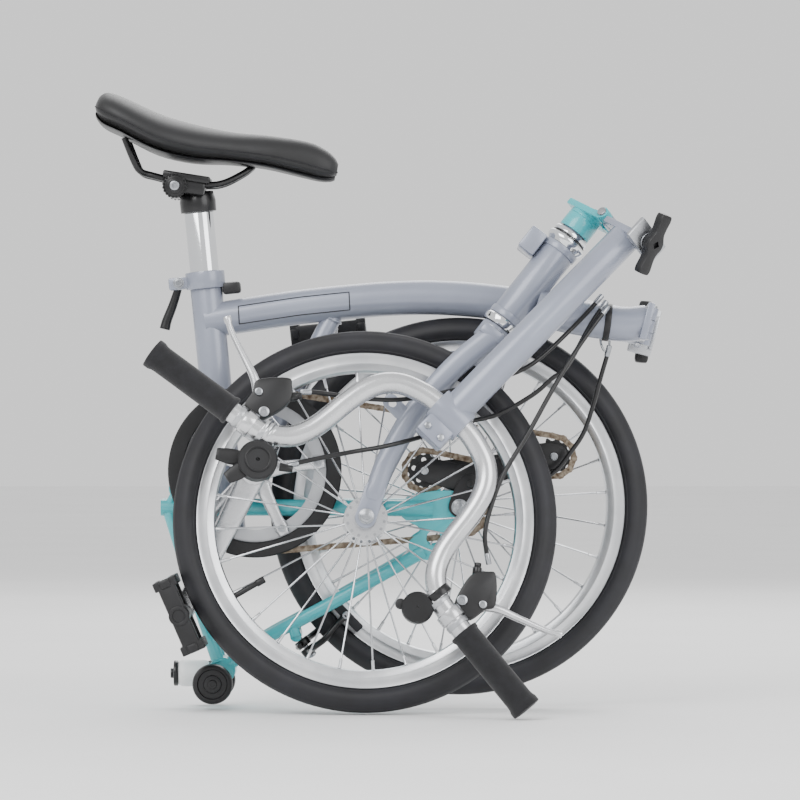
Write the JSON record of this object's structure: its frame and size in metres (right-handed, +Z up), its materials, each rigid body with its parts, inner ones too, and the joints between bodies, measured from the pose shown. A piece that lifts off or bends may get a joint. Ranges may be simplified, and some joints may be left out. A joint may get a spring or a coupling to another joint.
{
  "type": "folding bicycle",
  "caption": "Compact folding bicycle with small wheels, folded: hinged main frame, swinging rear frame, folding handlebar stem, sliding seat post.",
  "frame": {"origin": "centre of the bounding box's base, where the folded package stands", "axes": "+X towards the main hinge end of the folded package, +Y from its chain side to its far side, +Z up"},
  "size_m": [0.6214, 0.4098, 0.6721],
  "materials": {
    "grey_paint": "satin metallic grey-blue paint",
    "turquoise_paint": "gloss turquoise paint",
    "polished_aluminium": "polished",
    "brushed_aluminium": "satin",
    "zinc_steel": "bright zinc plate",
    "chain_steel": "oiled steel",
    "chrome": "mirror chrome",
    "black_plastic": "moulded, satin",
    "black_metal": "black coated",
    "tyre_rubber": "matte",
    "grip_foam": "closed-cell foam",
    "saddle_cover": "smooth synthetic cover",
    "white_elastomer": "smooth off-white",
    "cable_housing": "extruded sleeve"
  },
  "bodies": {
    "frame": {"main_frame": "grey_paint", "frame_hinge_pin": "zinc_steel", "seat_clamp": "grey_paint", "chain": "chain_steel", "rear_cable": "cable_housing"},
    "seat_lever": {"seat_clamp_lever": "black_metal"},
    "frame_plate": {"frame_clamp_plate": "brushed_aluminium"},
    "frame_lever": {"frame_clamp_lever": "black_plastic"},
    "seat": {"seat_post": "chrome", "saddle_clamp": "black_plastic", "saddle_rails": "black_metal", "saddle": "saddle_cover"},
    "cranks": {"crank_right": "polished_aluminium", "crank_left": "polished_aluminium", "chainring": "brushed_aluminium", "chain_guard": "black_plastic"},
    "right_pedal": {"pedal_right": "black_plastic"},
    "left_pedal": {"pedal_left": "black_plastic"},
    "rear": {"rear_frame": "turquoise_paint", "rear_pivot_pin": "zinc_steel", "rear_axle": "zinc_steel", "suspension_block": "white_elastomer", "suspension_bolt": "black_metal", "tensioner_bracket": "black_metal"},
    "rear_wheel": {"rear_tyre": "tyre_rubber", "rear_rim": "brushed_aluminium", "rear_hub": "brushed_aluminium", "rear_sprocket": "zinc_steel"},
    "tensioner": {"tensioner_arm": "black_metal"},
    "front_jockey": {"jockey_front": "black_plastic"},
    "rear_jockey": {"jockey_rear": "black_plastic"},
    "left_roller": {"roller_left": "black_plastic"},
    "right_roller": {"roller_right": "black_plastic"},
    "rear_left_arm": {"rear_brake_arm_left": "black_metal"},
    "rear_right_arm": {"rear_brake_arm_right": "black_metal"},
    "front": {"front_frame": "grey_paint", "headset_upper": "chrome"},
    "steerer": {"fork": "grey_paint", "front_axle": "zinc_steel", "stem_hinge_base": "turquoise_paint", "stem_hinge_pin": "zinc_steel", "brake_cable_right": "cable_housing", "brake_cable_left": "cable_housing", "shift_cable": "cable_housing"},
    "front_wheel": {"front_tyre": "tyre_rubber", "front_rim": "brushed_aluminium", "front_hub": "brushed_aluminium"},
    "front_left_arm": {"front_brake_arm_left": "black_metal"},
    "front_right_arm": {"front_brake_arm_right": "black_metal"},
    "stem_and_bar": {"stem": "grey_paint", "handlebar": "polished_aluminium", "grip_left": "grip_foam", "grip_right": "grip_foam", "brake_body_left": "black_plastic", "brake_body_right": "black_plastic", "shifter": "black_plastic"},
    "stem_plate": {"stem_clamp_plate": "brushed_aluminium"},
    "stem_lever": {"stem_clamp_lever": "black_plastic"},
    "left_lever": {"brake_lever_left": "polished_aluminium"},
    "right_lever": {"brake_lever_right": "polished_aluminium"}
  },
  "joints": [
    {"name": "rear_fold", "type": "hinge", "parent": "frame", "child": "rear", "pos_m": [-0.21772, 0.04136, 0.23947], "axis": [0, 1, 0], "range_deg": [0, 175], "deforming": ["chain"]},
    {"name": "rear_wheel_spin", "type": "hinge", "parent": "rear", "child": "rear_wheel", "pos_m": [0.08559, 0.04136, 0.2198], "axis": [0, 1, 0], "continuous": true},
    {"name": "tensioner_swing", "type": "hinge", "parent": "rear", "child": "tensioner", "pos_m": [0.09756, -0.00164, 0.24497], "axis": [0, 1, 0], "range_deg": [-6, 4]},
    {"name": "front_jockey_spin", "type": "hinge", "parent": "tensioner", "child": "front_jockey", "pos_m": [0.04762, -0.00164, 0.25924], "axis": [0, 1, 0], "range_deg": [-240, 0]},
    {"name": "rear_jockey_spin", "type": "hinge", "parent": "tensioner", "child": "rear_jockey", "pos_m": [0.18798, -0.00164, 0.27459], "axis": [0, 1, 0], "range_deg": [0, 240]},
    {"name": "left_roller_spin", "type": "hinge", "parent": "rear", "child": "left_roller", "pos_m": [-0.18256, 0.08936, 0.02739], "axis": [0, 1, 0], "continuous": true},
    {"name": "right_roller_spin", "type": "hinge", "parent": "rear", "child": "right_roller", "pos_m": [-0.18256, -0.00664, 0.02739], "axis": [0, 1, 0], "continuous": true},
    {"name": "rear_left_arm_turn", "type": "hinge", "parent": "rear", "child": "rear_left_arm", "pos_m": [-0.08522, 0.04136, 0.07], "axis": [0.6205, 0, -0.7842], "range_deg": [0, 1.6]},
    {"name": "rear_right_arm_turn", "type": "hinge", "parent": "rear", "child": "rear_right_arm", "pos_m": [-0.0787, 0.04136, 0.06176], "axis": [-0.6205, 0, 0.7842], "range_deg": [0, 1.6]},
    {"name": "main_fold", "type": "hinge", "parent": "frame", "child": "front", "pos_m": [0.29094, 0.00736, 0.41633], "axis": [0.2582, 0.0732, 0.9633], "range_deg": [0, 180], "deforming": ["rear_cable"]},
    {"name": "fork_turn", "type": "hinge", "parent": "front", "child": "steerer", "pos_m": [0.19435, -0.01901, 0.49832], "axis": [-0.6132, -0.1344, -0.7784], "range_deg": [0, 180]},
    {"name": "front_wheel_spin", "type": "hinge", "parent": "steerer", "child": "front_wheel", "pos_m": [-0.01662, -0.06877, 0.2058], "axis": [-0.0378, 0.9893, -0.141], "continuous": true},
    {"name": "front_left_arm_turn", "type": "hinge", "parent": "steerer", "child": "front_left_arm", "pos_m": [0.13963, -0.037, 0.38677], "axis": [-0.8215, 0.0496, 0.568], "range_deg": [0, 1.6]},
    {"name": "front_right_arm_turn", "type": "hinge", "parent": "steerer", "child": "front_right_arm", "pos_m": [0.14826, -0.03752, 0.38081], "axis": [0.8215, -0.0496, -0.568], "range_deg": [0, 1.6]},
    {"name": "stem_fold", "type": "hinge", "parent": "steerer", "child": "stem_and_bar", "pos_m": [0.24776, -0.03799, 0.52812], "axis": [-0.4862, -0.6479, 0.5863], "range_deg": [0, 180], "deforming": ["brake_cable_right", "brake_cable_left", "shift_cable"]},
    {"name": "stem_lever_turn", "type": "hinge", "parent": "stem_plate", "child": "stem_lever", "pos_m": [0.2805, -0.07943, 0.50949], "axis": [-0.5847, 0.7399, 0.3328], "range_deg": [0, 540]},
    {"name": "stem_plate_slide", "type": "slide", "parent": "stem_and_bar", "child": "stem_plate", "axis": [-0.5847, 0.7399, 0.3328], "range_m": [0, 0.0025]},
    {"name": "frame_lever_turn", "type": "hinge", "parent": "frame_plate", "child": "frame_lever", "pos_m": [0.28991, 0.06321, 0.41236], "axis": [0.0184, -0.9973, 0.0708], "range_deg": [0, 540]},
    {"name": "frame_plate_slide", "type": "slide", "parent": "frame", "child": "frame_plate", "axis": [0.0184, -0.9973, 0.0708], "range_m": [0, 0.003]},
    {"name": "seat_lever_turn", "type": "hinge", "parent": "frame", "child": "seat_lever", "pos_m": [-0.22124, 0.06186, 0.46389], "axis": [0.9952, 0, 0.0978], "range_deg": [0, 110]},
    {"name": "seat_post_slide", "type": "slide", "parent": "frame", "child": "seat", "axis": [-0.0978, 0, 0.9952], "range_m": [0, 0.18]},
    {"name": "crank_turn", "type": "hinge", "parent": "frame", "child": "cranks", "pos_m": [-0.13673, 0.04136, 0.25915], "axis": [0, 1, 0], "range_deg": [0, 60]},
    {"name": "right_pedal_turn", "type": "hinge", "parent": "cranks", "child": "right_pedal", "pos_m": [-0.21468, -0.02264, 0.10583], "axis": [0, 1, 0], "range_deg": [-10, 3]},
    {"name": "left_pedal_turn", "type": "hinge", "parent": "cranks", "child": "left_pedal", "pos_m": [-0.05878, 0.10336, 0.41247], "axis": [0, 1, 0], "continuous": true},
    {"name": "left_lever_pull", "type": "hinge", "parent": "stem_and_bar", "child": "left_lever", "pos_m": [0.10764, -0.15927, 0.11816], "axis": [-0.1032, 0.9711, -0.2154], "range_deg": [0, 20], "stiffness_Nm_per_rad": 1},
    {"name": "right_lever_pull", "type": "hinge", "parent": "stem_and_bar", "child": "right_lever", "pos_m": [-0.12971, -0.13458, 0.3432], "axis": [0.1032, -0.9711, 0.2154], "range_deg": [0, 20], "stiffness_Nm_per_rad": 1}
  ],
  "couplings": [
    {"joint": "front_jockey_spin", "follows": "crank_turn", "ratio": -4},
    {"joint": "rear_jockey_spin", "follows": "crank_turn", "ratio": 4},
    {"joint": "rear_left_arm_turn", "follows": "left_lever_pull", "ratio": 0.08},
    {"joint": "rear_right_arm_turn", "follows": "left_lever_pull", "ratio": 0.08},
    {"joint": "front_left_arm_turn", "follows": "right_lever_pull", "ratio": 0.08},
    {"joint": "front_right_arm_turn", "follows": "right_lever_pull", "ratio": 0.08},
    {"joint": "fork_turn", "follows": "main_fold", "ratio": 1},
    {"joint": "stem_plate_slide", "follows": "stem_lever_turn", "m_per_rad": 0.00026526},
    {"joint": "frame_plate_slide", "follows": "frame_lever_turn", "m_per_rad": 0.00031831}
  ]
}
